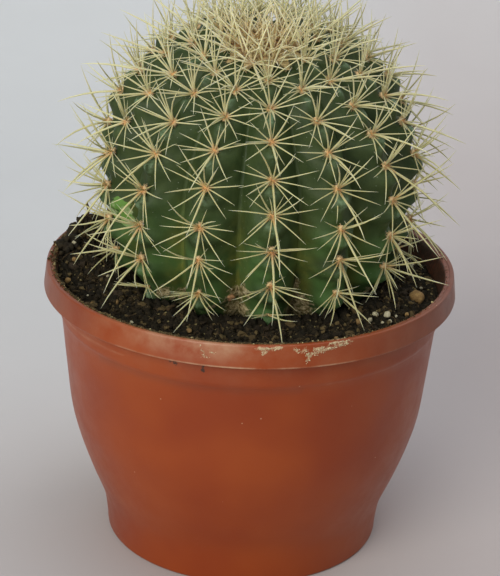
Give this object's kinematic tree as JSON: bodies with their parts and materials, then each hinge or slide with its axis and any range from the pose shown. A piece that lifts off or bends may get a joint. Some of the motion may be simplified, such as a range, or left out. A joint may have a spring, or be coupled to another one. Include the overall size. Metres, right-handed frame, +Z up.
{
  "type": "potted cactus",
  "caption": "round ribbed cactus with straw-yellow spines, leaning forwards in a soil-filled plastic pot with a rolled collar",
  "frame": {"origin": "centre of the pot's flat base, on the surface it stands on", "axes": "+Z is up; -Y points at the viewer, the side that the plant leans to; +X is the viewer's right"},
  "size_m": [0.1488, 0.1497, 0.2121],
  "materials": {
    "pot": "satin moulded polypropylene, terracotta coloured",
    "potting_soil": "loose dark peat with perlite grains",
    "cactus": "waxy green skin with straw-yellow spines",
    "crown_wool": "tan felt with young spines"
  },
  "bodies": {
    "root": {"pot": "pot", "potting_soil": "potting_soil", "cactus": "cactus", "crown_wool": "crown_wool"}
  },
  "joints": []
}
